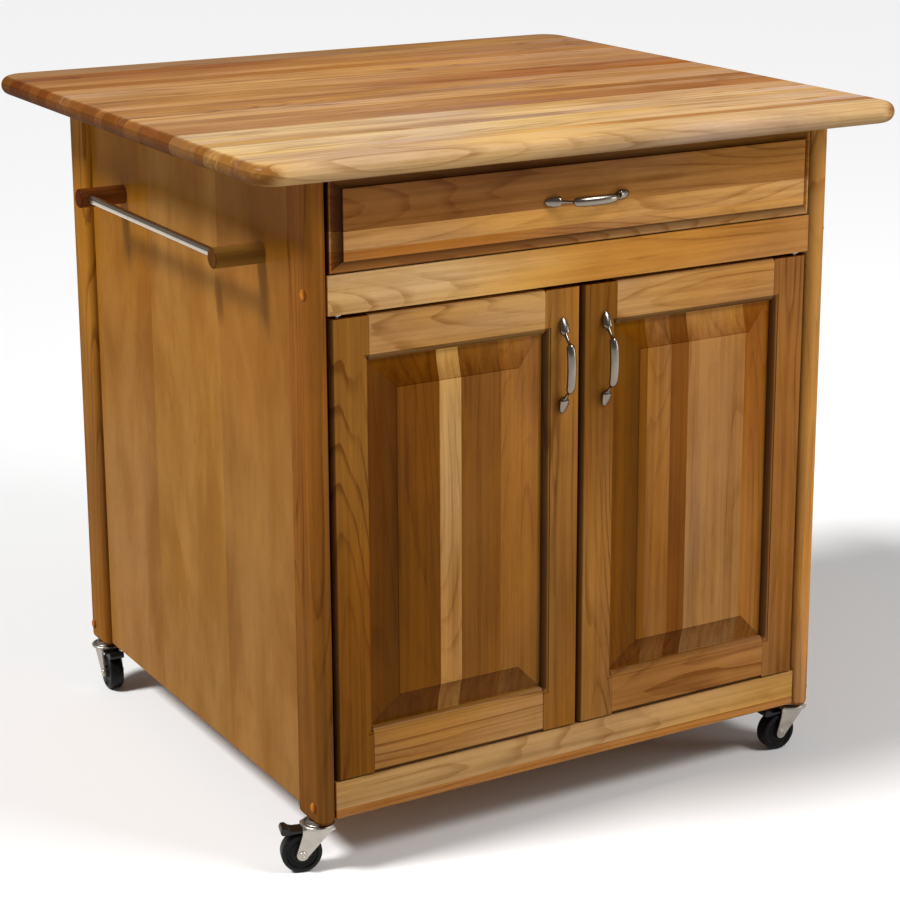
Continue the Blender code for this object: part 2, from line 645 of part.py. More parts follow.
def build_casters(zinc, rubber, plastic):
    meshes = {"stem": stem_mesh(), "fork": fork_mesh(), "wheel": wheel_mesh(), "brake": brake_mesh()}
    for place, heading in CASTER_HEADINGS.items():
        x, y = caster_place(place)
        swivel = make_pivot(f"caster_{place}", (x, y, 0.0), heading)
        add_piece(f"caster_{place}_stem", meshes["stem"], zinc, (x, y, 0.0))
        add_piece(f"caster_{place}_fork", meshes["fork"], zinc, (0.0, 0.0, 0.0), swivel)
        wheel_place = (-CASTER_TRAIL, 0.0, WHEEL_RADIUS)
        add_piece(f"caster_{place}_wheel", meshes["wheel"], rubber, wheel_place, swivel)
        brake_place = (BRAKE_PIVOT[0], 0.0, BRAKE_PIVOT[1])
        add_piece(f"caster_{place}_brake", meshes["brake"], plastic, brake_place, swivel)


# ---------------------------------------------------------------- the cart

def build():
    clear_scene()
    wood = make_material("hardwood", (0.55, 0.31, 0.12), 0.42)
    ply = make_material("veneer", (0.60, 0.33, 0.12), 0.45)
    nickel = make_material("satin_nickel", (0.62, 0.60, 0.57), 0.28, 1.0)
    chrome = make_material("chrome", (0.75, 0.75, 0.76), 0.12, 1.0)
    zinc = make_material("zinc_plate", (0.66, 0.66, 0.67), 0.30, 1.0)
    steel = make_material("runner_steel", (0.80, 0.80, 0.78), 0.40)
    nylon = make_material("bush_nylon", (0.75, 0.73, 0.68), 0.50)
    rubber = make_material("black_rubber", (0.02, 0.02, 0.02), 0.50)
    plastic = make_material("black_plastic", (0.03, 0.03, 0.03), 0.40)
    build_cabinet(wood, ply)
    build_door(-1, "left", LEFT_PULL_X, wood, zinc, nylon, nickel)
    build_door(1, "right", RIGHT_PULL_X, wood, zinc, nylon, nickel)
    build_drawer(wood, ply, steel, nickel)
    build_towel_bar(wood, chrome)
    build_casters(zinc, rubber, plastic)


build()
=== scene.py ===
"""Looks of the kitchen island cart: finished wood, turned and pressed metal, and the small fittings.

Metres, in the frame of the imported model: +Z up, the front faces -Y. Places come from the frame's own boxes.
"""

import math

import bmesh
import bpy
from mathutils import Matrix, Vector


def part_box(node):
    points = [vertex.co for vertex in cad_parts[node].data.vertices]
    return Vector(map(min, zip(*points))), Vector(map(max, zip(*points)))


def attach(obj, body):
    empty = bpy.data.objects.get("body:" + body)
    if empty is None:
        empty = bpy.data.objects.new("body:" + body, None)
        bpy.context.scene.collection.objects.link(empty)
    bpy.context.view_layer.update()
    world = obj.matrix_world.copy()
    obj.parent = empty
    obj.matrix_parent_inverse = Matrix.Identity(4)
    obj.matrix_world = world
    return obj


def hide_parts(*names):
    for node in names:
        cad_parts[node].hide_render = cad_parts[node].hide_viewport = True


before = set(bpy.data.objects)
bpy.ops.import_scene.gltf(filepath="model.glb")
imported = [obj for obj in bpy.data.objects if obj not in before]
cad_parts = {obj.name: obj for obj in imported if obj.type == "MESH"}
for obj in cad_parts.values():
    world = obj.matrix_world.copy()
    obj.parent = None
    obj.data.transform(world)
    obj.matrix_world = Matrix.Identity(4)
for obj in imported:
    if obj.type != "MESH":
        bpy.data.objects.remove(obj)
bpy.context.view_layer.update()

# Camera, at the photograph's viewing angle
CAMERA_PLACE = (-1.534, -2.723, 1.3485)
CAMERA_TURN = 30.71  # degrees from +Y towards +X
CAMERA_DIP = 14.92  # degrees below the horizon
CAMERA_LENS = 94.6
CAMERA_SHIFT = (-0.04, -0.10)

# Light
KEY_DIRECTION = (-0.61, 0.09, 0.79)
KEY_STRENGTH = 3.5
KEY_WIDTH = 14  # degrees
SOFT_BOX_TARGET = (0.0, 0.0, 0.45)
SOFT_BOXES = {  # place, size and watts
    "upper_box": ((1.45, -2.2, 2.95), 1.1, 62),
    "right_box": ((3.0, -2.0, 1.0), 1.2, 20),
}
SURROUND = 0.18

# Wood details
BOARD_EDGE = 0.0014
WORKTOP_CORNER = 0.040
STICKING_WIDTH = 0.0080  # the moulding along the inner edge of a door's frame
STICKING_DEPTH = 0.0082
STICKING_QUIRK = 0.0008
GROOVE = (0.0094, 0.0140)  # the near and far wall of the panel's groove, behind the frame's face
GROOVE_DEPTH = 0.0075
STILE_ROUNDING = 0.0060
RAIL_ROUNDING = 0.0040
GAP = 0.0003
STAIN_AND_SHADE_TONE = "1c0b02"  # painted shade on what faces down or left and in recesses, with the stain that gathers in mouldings
FLECK = "5a3208"
FLECK_SIZE = (0.014, 0.036)
FLECK_HEIGHT = 0.664  # above the floor, at a seam of the left side panel

# Plugs over the screws of the rails
PLUG_RADIUS = 0.0066
PLUG_FROM_FACE = {"front": 0.0155, "rear": 0.0165}
PLUG_HEIGHT = {"front_bottom_rail": 0.018, "front_mid_rail": 0.0275}  # above the rail's lower edge


# ---- node helpers

def srgb(code):
    """A colour written RRGGBB as the linear values that a shader takes."""
    parts = [int(code[index:index + 2], 16) / 255 for index in (0, 2, 4)]
    linear = [part / 12.92 if part <= 0.04045 else ((part + 0.055) / 1.055) ** 2.4 for part in parts]
    return (*linear, 1.0)


class Nodes:
    """Short calls for the nodes of one tree. A value is a number, a colour or another node's output."""

    def __init__(self, tree):
        self.tree = tree

    def feed(self, socket, value):
        if isinstance(value, bpy.types.NodeSocket):
            self.tree.links.new(value, socket)
        else:
            socket.default_value = value

    def add(self, kind, inputs=None, **settings):
        node = self.tree.nodes.new(kind)
        for key, value in settings.items():
            setattr(node, key, value)
        for key, value in (inputs or {}).items():
            self.feed(node.inputs[key], value)
        return node

    def math(self, operation, *values):
        return self.add("ShaderNodeMath", dict(enumerate(values)), operation=operation).outputs[0]

    def total(self, *terms):
        """The sum of (factor, value) terms, and of plain numbers."""
        result = sum(term for term in terms if not isinstance(term, tuple))
        for factor, value in (term for term in terms if isinstance(term, tuple)):
            result = self.math("MULTIPLY_ADD", value, factor, result)
        return result

    def vector(self, operation, *values):
        node = self.add("ShaderNodeVectorMath", dict(enumerate(values)), operation=operation)
        return node.outputs["Value" if operation in ("DOT_PRODUCT", "LENGTH") else "Vector"]

    def smooth(self, value, low, high):
        """A soft step from 0 at low to 1 at high."""
        inputs = {"Value": value, "From Min": low, "From Max": high}
        return self.add("ShaderNodeMapRange", inputs, interpolation_type="SMOOTHSTEP").outputs["Result"]

    def noise(self, place, scale, detail=2.0, roughness=0.5, distortion=0.0):
        """Noise whose scale may differ along the three axes."""
        stretched = self.vector("MULTIPLY", place, scale if isinstance(scale, tuple) else (scale,) * 3)
        node = self.add("ShaderNodeTexNoise", {
            "Vector": stretched, "Scale": 1.0, "Detail": detail, "Roughness": roughness,
            "Distortion": distortion,
        })
        return node.outputs["Fac"]

    def mix(self, factor, first, second, blend="MIX"):
        inputs = {0: factor, 6: first, 7: second}
        return self.add("ShaderNodeMix", inputs, data_type="RGBA", blend_type=blend).outputs[2]

    def tint(self, colour, *shares):
        """A colour whose red, green and blue are multiplied by shares."""
        return self.mix(1.0, colour, (*shares, 1.0), "MULTIPLY")

    def ramp(self, factor, stops):
        """Bands of colour, each from its own stop to the next. A single stop gives way to white at 1.0."""
        node = self.add("ShaderNodeValToRGB", {"Fac": factor})
        ramp = node.color_ramp
        ramp.interpolation = "CONSTANT"
        while len(ramp.elements) < len(stops):
            ramp.elements.new(0.5)
        for element, (position, colour) in zip(ramp.elements, stops):
            element.position = position
            element.color = colour
        return node.outputs["Color"]


def new_material(name):
    """A material with its Principled shader, and the shorthand for its tree."""
    material = bpy.data.materials.new(name)
    material.use_nodes = True
    return material, Nodes(material.node_tree), material.node_tree.nodes["Principled BSDF"]


def surface(nodes):
    """The place on the object, and the direction in which its surface faces."""
    outputs = nodes.add("ShaderNodeTexCoord").outputs
    return outputs["Object"], outputs["Normal"]


def coat(nodes, shader, colour, roughness, height, strength, distance=0.0002):
    """Feed the Principled shader a colour, a roughness and a bump."""
    bump = nodes.add("ShaderNodeBump", {"Height": height, "Strength": strength, "Distance": distance})
    for key, value in (("Base Color", colour), ("Roughness", roughness), ("Normal", bump.outputs[0])):
        nodes.feed(shader.inputs[key], value)


# ---- wood

def grain_group():
    """The figure of planed wood: growth lines, streaks, fibres, mottle and pores. X runs along the grain."""
    tree = bpy.data.node_groups.new("wood_grain", "ShaderNodeTree")
    inputs = {"Place": "Vector", "Seed": "Float", "Tone": "Color", "Lines": "Float", "End": "Float"}
    outputs = {"Colour": "Color", "Roughness": "Float", "Height": "Float"}
    for direction, sockets in (("INPUT", inputs), ("OUTPUT", outputs)):
        for name, kind in sockets.items():
            tree.interface.new_socket(name, in_out=direction, socket_type=f"NodeSocket{kind}")
    nodes = Nodes(tree)
    given = nodes.add("NodeGroupInput").outputs
    shift = nodes.add("ShaderNodeVectorMath", {0: (1.7, 0.9, 2.3), "Scale": given["Seed"]}, operation="SCALE")
    place = nodes.vector("ADD", given["Place"], shift.outputs[0])
    field = nodes.noise(place, (1.1, 10, 10), 1.5, 0.35)
    wobble = nodes.noise(place, (6, 60, 60), 2.0)
    ring = nodes.math("FRACT", nodes.total((24.0, field), (0.7, wobble)))
    fade = nodes.smooth(nodes.noise(place, (3, 24, 24), 2.0), 0.40, 0.62)
    late = nodes.math("MULTIPLY", nodes.smooth(ring, 0.62, 0.93), nodes.smooth(ring, 1.0, 0.95))
    line = nodes.math("MULTIPLY", late, nodes.total(0.25, (0.75, fade)))
    streak = nodes.noise(place, (1.8, 130, 130), 3.0, 0.6)
    mottle = nodes.noise(place, (6, 16, 16), 4.0, 0.55)
    patch = nodes.noise(place, (2.2, 9, 9), 2.0)
    fibre = nodes.noise(place, (24, 1000, 1000), 2.0, 0.6)
    pore = nodes.smooth(nodes.noise(place, (70, 1700, 1700), 0.0), 0.64, 0.76)
    end = given["End"]
    dark = nodes.total(
        -1.36, (0.75, nodes.math("MULTIPLY", line, given["Lines"])), (1.5, streak), (1.3, mottle),
        (0.40, fibre), (0.20, pore), (0.75, end),
    )
    dark = nodes.math("MAXIMUM", nodes.math("MINIMUM", dark, 1.0), 0.0)
    warm = nodes.tint(given["Tone"], 1.15, 1.08, 0.75)
    cool = nodes.tint(given["Tone"], 0.95, 0.96, 1.15)
    light = nodes.mix(nodes.smooth(patch, 0.35, 0.65), warm, cool)
    light = nodes.mix(end, light, nodes.tint(light, 0.80, 0.64, 0.46))
    deep = nodes.tint(light, 0.52, 0.42, 0.30)
    result = nodes.add("NodeGroupOutput").inputs
    nodes.feed(result["Colour"], nodes.mix(dark, light, deep))
    nodes.feed(result["Roughness"], nodes.total(0.34, (0.14, mottle), (0.10, fibre), (0.15, end)))
    nodes.feed(result["Height"], nodes.total((0.6, fibre), (0.5, late), (-0.9, pore)))
    return tree


GRAIN = grain_group()


def stave_stops(staves):
    """The whole width of the staves, and ramp stops across them: their tones, far tones and seeds."""
    whole = sum(stave[0] for stave in staves)
    edge, near, far, seeds = 0.0, [], [], []
    for index, stave in enumerate(staves):
        near.append((edge / whole, srgb(stave[1])))
        far.append((edge / whole, srgb(stave[-1])))
        seeds.append((edge / whole, (index * 0.37 % 1.0,) * 3 + (1.0,)))
        edge += stave[0]
    return whole, near, far, seeds


def clouded(nodes, colour, place, upright, strength):
    """The clouds of stain that a rotary-cut veneer takes up."""
    cloud = nodes.noise(place, (6, 6, 2.2) if upright else 4.0, 4.0, 0.55, 1.2)
    feather = nodes.noise(place, (26, 26, 7) if upright else 18.0, 3.0, 0.6)
    soak = nodes.smooth(nodes.total((1.0, cloud), (0.35, feather)), 0.52, 0.86)
    golden = nodes.tint(colour, 0.72, 0.58, 0.25)
    washed = nodes.tint(colour, 1.08, 1.08, 1.10)
    return nodes.mix(nodes.math("MULTIPLY", soak, strength), washed, golden)


def flecked(nodes, colour, place, spot):
    """A dark fleck with a ragged edge, at a place (y, z)."""
    offset = nodes.vector("SUBTRACT", place, (0.0, *spot))
    stretch = (0.0, 1 / FLECK_SIZE[0], 1 / FLECK_SIZE[1])
    inside = nodes.vector("LENGTH", nodes.vector("MULTIPLY", offset, stretch))
    ragged = nodes.total((1.0, inside), (1.6, nodes.noise(place, (90.0, 90.0, 25.0), 3.0)))
    return nodes.mix(nodes.math("MULTIPLY", nodes.smooth(ragged, 2.0, 1.2), 0.6), colour, srgb(FLECK))


def stain_and_painted_shade(nodes, colour, normal, stain_and_shade_weights):
    """Painted shade with stain gathered in a moulding: stain and painted shade on all that is turned from the
    front, and painted shade on what looks down or left.
    """
    # turned from the front: stain in the mouldings, with painted shade standing in for the shade of the
    # recesses
    square = nodes.math("ABSOLUTE", nodes.vector("DOT_PRODUCT", normal, (0.0, 1.0, 0.0)))
    steep = nodes.total((0.25, nodes.smooth(square, 0.999, 0.90)), (0.75, nodes.smooth(square, 0.97, 0.70)))
    # looking down or left: painted shade, not stain
    low = nodes.vector("DOT_PRODUCT", normal, (-0.42, 0.0, -0.91))
    under = nodes.total((0.75, nodes.smooth(low, 0.03, 0.17)), (0.25, nodes.smooth(low, 0.30, 0.75)))
    stain_and_shade_share = nodes.math("MINIMUM", nodes.total((stain_and_shade_weights[0], steep), (stain_and_shade_weights[1], under)), 0.75)
    return nodes.mix(stain_and_shade_share, colour, srgb(STAIN_AND_SHADE_TONE))


def wood(name, grain, staves, across="X", start=0.0, lines=0.65, broad=1.0, turn=None, stain_and_shade_weights=None,
         blotch=0.0, calm=0.0, fleck=None, relief=0.25):
    """Lacquered wood with its grain along one axis.

    staves are (width, tone, far tone) side by side along across, from start; a single board has one. Over
    turn, a pair of places along the grain, each stave passes from its tone to its far tone. broad widens the
    figure and calm fades it. blotch is the strength of a veneer's clouds and fleck the place of a dark fleck.
    pooled is how much stain and painted shade go on what is turned from the front, and how much painted shade
    goes on what looks down or left.
    """
    material, nodes, shader = new_material(name)
    place, normal = surface(nodes)
    axes = dict(zip("XYZ", nodes.add("ShaderNodeSeparateXYZ", {"Vector": place}).outputs))
    others = [axes[axis] for axis in "XYZ" if axis != grain]
    turned_axes = {"X": axes[grain], "Y": others[0], "Z": others[1]}
    turned_place = nodes.add("ShaderNodeCombineXYZ", turned_axes).outputs[0]
    if broad != 1.0:
        turned_place = nodes.vector("MULTIPLY", turned_place, (1.0, 1 / broad, 1 / broad))
    whole, near_stops, far_stops, seed_stops = stave_stops(staves)
    share = nodes.math("DIVIDE", nodes.math("SUBTRACT", axes[across], start), whole)
    tone = nodes.ramp(share, near_stops)
    seed = float(sum(ord(letter) for letter in name) % 53)
    if len(staves) > 1:
        seed = nodes.total(seed, (60.0, nodes.ramp(share, seed_stops)))
    if turn:
        near, far = turn
        wander = nodes.noise(turned_place, (4, 40, 40), 2.0)
        reach = nodes.total(-0.3 * (far - near), (1.0, axes[grain]), (0.6 * (far - near), wander))
        tone = nodes.mix(nodes.smooth(reach, near, far), tone, nodes.ramp(share, far_stops))
    along = nodes.vector("DOT_PRODUCT", normal, tuple(float(axis == grain) for axis in "XYZ"))
    end = nodes.smooth(nodes.math("ABSOLUTE", along), 0.05, 0.60)
    given = {"Place": turned_place, "Seed": seed, "Tone": tone, "Lines": lines, "End": end}
    figure = nodes.add("ShaderNodeGroup", given, node_tree=GRAIN).outputs
    colour = figure["Colour"]
    if calm:
        colour = nodes.mix(calm, colour, tone)
    if blotch:
        colour = clouded(nodes, colour, place, grain == "Z", blotch)
    if fleck:
        colour = flecked(nodes, colour, place, fleck)
    # stain in mouldings and painted shade on faces turned from the front and on what looks down or left
    if stain_and_shade_weights:
        colour = stain_and_painted_shade(nodes, colour, normal, stain_and_shade_weights)
    coat(nodes, shader, colour, figure["Roughness"], figure["Height"], relief)
    shader.inputs["Specular IOR Level"].default_value = 0.0
    shader.inputs["Coat Weight"].default_value = 0.08
    shader.inputs["Coat Roughness"].default_value = 0.22
    return material


# ---- metal, plastic and rubber

def metal(name, code, rough, brushed=(1, 1, 1), stain="7a766f"):
    """Plated metal: a fine brushed texture, faint stains where hands and dust settle, and small dents."""
    material, nodes, shader = new_material(name)
    place, _ = surface(nodes)
    brush = nodes.noise(place, tuple(900.0 * share for share in brushed), 3.0, 0.6)
    cloud = nodes.noise(place, 60.0, 3.0)
    speck = nodes.smooth(nodes.noise(place, 420.0, 2.0), 0.62, 0.75)
    soil = nodes.math("MULTIPLY", nodes.smooth(cloud, 0.5, 0.8), 0.45)
    soil = nodes.math("MAXIMUM", soil, nodes.math("MULTIPLY", speck, 0.25))
    roughness = nodes.total(rough - 0.08, (0.12, brush), (0.10, cloud))
    height = nodes.total((0.5, brush), (0.5, cloud))
    coat(nodes, shader, nodes.mix(soil, srgb(code), srgb(stain)), roughness, height, 0.05)
    shader.inputs["Metallic"].default_value = 1.0
    return material


def moulded(name, code, rough, scuff, scuffed, shine=0.5):
    """Moulded plastic or rubber: an orange-peel skin with paler scuffs and settled dust."""
    material, nodes, shader = new_material(name)
    place, _ = surface(nodes)
    peel = nodes.noise(place, 1400.0, 2.0)
    cloud = nodes.noise(place, 90.0, 4.0, 0.65)
    worn = nodes.math("MULTIPLY", nodes.smooth(cloud, 0.52, 0.75), scuffed)
    roughness = nodes.total(rough, (0.25, worn), (0.08, peel))
    coat(nodes, shader, nodes.mix(worn, srgb(code), srgb(scuff)), roughness, peel, 0.25, 0.0001)
    shader.inputs["Specular IOR Level"].default_value = shine
    return material


NICKEL = metal("satin_nickel", "82786c", 0.20, (0.25, 2, 2), "6e6355")
CHROME = metal("chrome_rod", "c8bba9", 0.18, (1, 0.08, 1), "8d8272")
ZINC = metal("zinc_plate", "b3aca2", 0.34, (1, 1, 0.4), "8a8075")
STEEL = metal("screw_steel", "b9b7b2", 0.33)
RUBBER = moulded("black_rubber", "0b0a09", 0.42, "25221f", 0.3, 0.18)
PLASTIC = moulded("black_plastic", "0c0b0a", 0.30, "2a2825", 0.25, 0.35)
EPOXY = moulded("white_epoxy", "dcdbd4", 0.32, "9a968c", 0.30)
NYLON = moulded("nylon", "4c463d", 0.45, "6e675c", 0.30)


# ---- shapes

def add_object(name, data):
    item = bpy.data.objects.new(name, data)
    bpy.context.scene.collection.objects.link(item)
    return item


def shade(mesh, angle):
    """Smooth shading within an angle. Large faces weigh most, so that a flat face stays flat to its edge."""
    limit = math.cos(math.radians(angle))
    around = [[] for _ in mesh.vertices]
    for face in mesh.polygons:
        for vertex in face.vertices:
            around[vertex].append((face.normal.copy(), face.area))
    mesh.shade_smooth()
    mesh.set_sharp_from_angle(angle=math.radians(angle))
    normals = []
    for face in mesh.polygons:
        facing = face.normal.copy()
        for vertex in face.vertices:
            near = [normal * area for normal, area in around[vertex] if normal.dot(facing) > limit]
            normals.append(sum(near, Vector()).normalized())
    mesh.normals_split_custom_set(normals)


def add_piece(name, shape, material, body, stands_for=(), smooth_angle=32):
    """A piece from a bmesh in the frame's own coordinates, riding on its body."""
    bmesh.ops.recalc_face_normals(shape, faces=shape.faces)
    mesh = bpy.data.meshes.new(name)
    shape.to_mesh(mesh)
    shape.free()
    shade(mesh, smooth_angle)
    mesh.materials.append(material)
    piece = add_object(name, mesh)
    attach(piece, body)
    if stands_for:
        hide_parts(*stands_for)


def placed(shape, place=(0.0, 0.0, 0.0), turn=0.0, axis="Z"):
    """A shape turned by an angle in degrees about an axis through the origin, then moved to its place."""
    matrix = Matrix.Translation(place) @ Matrix.Rotation(math.radians(turn), 4, axis)
    bmesh.ops.transform(shape, matrix=matrix, verts=shape.verts)
    return shape


def board(low, high, edge=BOARD_EDGE, segments=3):
    """A planed board between two corners, its edges rounded."""
    low, high = Vector(low), Vector(high)
    shape = bmesh.new()
    matrix = Matrix.Translation((low + high) / 2) @ Matrix.Diagonal((*(high - low), 1.0))
    bmesh.ops.create_cube(shape, size=1.0, matrix=matrix)
    bmesh.ops.bevel(shape, geom=shape.edges[:], offset=edge, segments=segments, affect="EDGES", profile=0.5)
    return shape


def skinned(loops):
    """A closed skin over loops of equal length, capped at both ends."""
    shape = bmesh.new()
    rings = [[shape.verts.new(point) for point in loop] for loop in loops]
    for lower, upper in zip(rings, rings[1:]):
        for index in range(len(lower)):
            following = (index + 1) % len(lower)
            shape.faces.new((lower[index], lower[following], upper[following], upper[index]))
    shape.faces.new(rings[0])
    shape.faces.new(rings[-1])
    return shape


def turned(profile, steps, axis="Z"):
    """A profile of (radius, height) points turned about an axis. One that keeps off the axis is closed."""
    shape = bmesh.new()
    ring = [shape.verts.new((radius, 0.0, height)) for radius, height in profile]
    edges = [shape.edges.new(pair) for pair in zip(ring, ring[1:])]
    if profile[0][0] > 0 and profile[-1][0] > 0:
        edges.append(shape.edges.new((ring[-1], ring[0])))
    bmesh.ops.spin(shape, geom=ring + edges, axis=(0, 0, 1), cent=(0, 0, 0), steps=steps, angle=2 * math.pi)
    bmesh.ops.remove_doubles(shape, verts=shape.verts, dist=2e-6)
    if axis == "X":
        placed(shape, turn=90, axis="Y")
    if axis == "Y":
        placed(shape, turn=-90, axis="X")
    return shape


def arc(centre, radius, start, end, steps):
    """Points on an arc, angles in degrees, both ends included."""
    angles = [math.radians(start + (end - start) * step / steps) for step in range(steps + 1)]
    return [(centre[0] + radius * math.cos(a), centre[1] + radius * math.sin(a)) for a in angles]


def extruded(outline, axis, start, end):
    """A closed outline in the other two axes, extruded along X or Y."""
    if axis == "X":
        return skinned([[(distance, y, z) for y, z in outline] for distance in (start, end)])
    return skinned([[(x, distance, z) for x, z in outline] for distance in (start, end)])


def rounded_rectangle(width, depth, corner, steps):
    """The outline of a rectangle with round corners, around the origin."""
    points = []
    for index, (side_x, side_y) in enumerate([(1, 1), (-1, 1), (-1, -1), (1, -1)]):
        centre = (side_x * (width / 2 - corner), side_y * (depth / 2 - corner))
        points += arc(centre, corner, 90 * index, 90 * index + 90, steps)
    return points


def domed(radius, base, rise, steps):
    """Profile points up a dome, between its rim and its crown."""
    angles = [math.radians(90 * step / steps) for step in range(1, steps)]
    return [(radius * math.cos(angle), base + rise * math.sin(angle)) for angle in angles]


def boolean(operation, shape, *tools):
    """The bmesh left after a Boolean operation between shape and each tool."""
    operands = []
    for item in (shape, *tools):
        bmesh.ops.recalc_face_normals(item, faces=item.faces)
        mesh = bpy.data.meshes.new("operand")
        item.to_mesh(mesh)
        item.free()
        operands.append(add_object("operand", mesh))
    for tool in operands[1:]:
        modifier = operands[0].modifiers.new(operation, "BOOLEAN")
        modifier.operation = operation
        modifier.object = tool
    bpy.context.view_layer.update()
    result = bmesh.new()
    result.from_object(operands[0], bpy.context.evaluated_depsgraph_get())
    for item in operands:
        bpy.data.objects.remove(item, do_unlink=True)
    return result


# ---- worktop

def build_worktop():
    """The edge-glued slab: staves run along X, and the rounded edge runs all the way round."""
    low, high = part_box("worktop")
    width, depth, thickness = high - low
    radius = thickness / 2
    centre = (low + high) / 2
    loops = []
    rings = 18
    for ring in range(rings + 1):
        angle = math.pi * (ring / rings - 0.5)
        inset = radius * (1 - math.cos(angle))
        outline = rounded_rectangle(width - 2 * inset, depth - 2 * inset, WORKTOP_CORNER - inset, 16)
        height = centre.z + radius * math.sin(angle)
        loops.append([(centre.x + x, centre.y + y, height) for x, y in outline])
    staves = [
        (0.046, "c5a37b", "b79a80"), (0.022, "c39e6e", "a57950"), (0.034, "c8ab88", "b8997f"),
        (0.038, "ccb18f", "bc9a72"), (0.028, "b08d67", "bb976b"), (0.021, "c5a580", "c1a48e"),
        (0.048, "c7a982", "b18c65"), (0.046, "9e765c", "926444"), (0.024, "a57e63", "aa7c50"),
        (0.024, "ad8153", "916134"), (0.046, "b9926c", "b3895c"), (0.036, "a87c4f", "a57d5a"),
        (0.037, "9f744e", "ad835d"), (0.022, "b38a69", "9b6333"), (0.045, "a47a54", "996642"),
        (0.044, "ab8360", "a17752"), (0.040, "b48c66", "b08458"), (0.043, "ad8460", "b18457"),
        (0.030, "a16d3a", "9f7146"), (0.030, "ad8054", "a4774f"), (0.036, "946745", "996f4d"),
        (0.040, "8f5d39", "9f7859"), (0.049, "9a744c", "96704a"),
    ]
    # painted shade on the lower half of the rounded edge and on the left end
    material = wood("worktop_wood", "X", staves, "Y", low.y, lines=0.6, turn=(-0.15, 0.15),
                    stain_and_shade_weights=(0.0, 0.45))
    add_piece("butcher_block_top", skinned(loops), material, "cabinet", ["worktop"])


# ---- cabinet

def post_shape(node, side, end):
    """A post: round outer end, eased corner by the side panel, foot eased all round."""
    low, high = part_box(node)
    width = high.x - low.x
    depth = high.y - low.y
    ease = 0.008
    foot = 0.007
    half = width / 2
    outline = [(width, depth), *arc((half, half), half, 0, -180, 28)]
    outline += arc((ease, depth - ease), ease, 180, 90, 6)
    middle = (half, depth / 2)
    loops = []
    for step in range(6):
        angle = math.radians(90 * step / 5)
        inset = foot * (1 - math.sin(angle))
        height = low.z + foot * (1 - math.cos(angle))
        share = (1 - inset / half, 1 - inset / (depth / 2))
        loops.append([(middle[0] + (x - middle[0]) * share[0], middle[1] + (y - middle[1]) * share[1], height)
                      for x, y in outline])
    loops.append([(x, y, high.z) for x, y in outline])
    outer = high.x if side > 0 else low.x
    face = low.y if end == "front" else high.y
    inwards = 1 if end == "front" else -1
    return skinned([[(outer - side * x, face + inwards * y, z) for x, y, z in loop] for loop in loops])


POST_WOOD = {
    "front_left": ("6e4516", "7e4f1c"), "front_right": ("bb8548", "ad7d40"),
    "rear_left": ("85561e", "95641f"), "rear_right": ("85581f", "8f5f24"),
}


def build_cabinet():
    for place, codes in POST_WOOD.items():
        end, side_name = place.split("_")
        side = -1 if side_name == "left" else 1
        node = f"post_{place}"
        material = wood(f"{node}_wood", "Z", [(1.0, *codes)], lines=0.9, turn=(0.25, 0.60))
        add_piece(f"{node}_turned", post_shape(node, side, end), material, "cabinet", [node])
        build_plugs(place, side, end)
    veneers = {
        "side_panel_left": ("Y", [(0.211, "8d6431", "8a5d28"), (0.216, "926a36", "96692f"),
                                  (0.195, "906635", "91601d")]),
        "side_panel_right": ("Y", [(0.260, "906735", "8e6229"), (0.190, "946b36", "97682c"),
                                   (0.175, "8f6431", "92602a")]),
        "back_panel": ("X", [(0.210, "936833", "936430"), (0.260, "986c38", "996a34"),
                             (0.230, "8f6431", "926230")]),
        "shelf": ("X", [(0.300, "a57843"), (0.400, "a97b46")]),
        "floor_panel": ("X", [(0.380, "a67a45"), (0.320, "a0743f")]),
    }
    for node, (across, sheets) in veneers.items():
        low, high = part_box(node)
        start = low.y if across == "Y" else low.x
        upright = node.startswith(("side", "back"))
        seam = start + sheets[0][0]
        material = wood(f"{node}_veneer", "Z" if upright else "Y", sheets, across, start, lines=0.10,
                        broad=9.0, turn=(0.35, 0.70) if upright else None, blotch=0.7, calm=0.5,
                        fleck=(seam, FLECK_HEIGHT) if node == "side_panel_left" else None, relief=0.15)
        add_piece(f"{node}_board", board(low, high, 0.0005, 2), material, "cabinet", [node])
    rails = {
        "front_mid_rail": [(0.048, "d0a76a", "ac783c")],
        "front_bottom_rail": [(0.012, "9c6a38", "a87440"), (0.036, "b48c54", "ba9058")],
        "rear_bottom_rail": [(0.048, "9a7040", "9e7244")],
    }
    for node, strips in rails.items():
        low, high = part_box(node)
        material = wood(f"{node}_wood", "X", strips, "Z", low.z, turn=(-0.22, 0.05))
        add_piece(f"{node}_board", board(low, high), material, "cabinet", [node])


def build_plugs(place, side, end):
    """Mushroom buttons that cover the screws of the rails, on the outer face of a post."""
    low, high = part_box(f"post_{place}")
    y = low.y + PLUG_FROM_FACE[end] if end == "front" else high.y - PLUG_FROM_FACE[end]
    heights = [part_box(rail)[0].z + height for rail, height in PLUG_HEIGHT.items()]
    if end == "rear":
        heights.pop()
    outer = high.x if side > 0 else low.x
    material = wood(f"plug_{place}_wood", "Y", [(1.0, "a3692c")], lines=0.3)
    profile = [(0.0, -0.001), (PLUG_RADIUS, -0.001), (PLUG_RADIUS, 0.0006)]
    profile += domed(PLUG_RADIUS, 0.0006, 0.0024, 9)
    profile.append((0.0, 0.0030))
    for index, height in enumerate(sorted(heights)):
        shape = placed(turned(profile, 32, "X"), (outer, y, height), 0 if side > 0 else 180)
        add_piece(f"button_plug_{place}_{index + 1}", shape, material, "cabinet")


# ---- doors

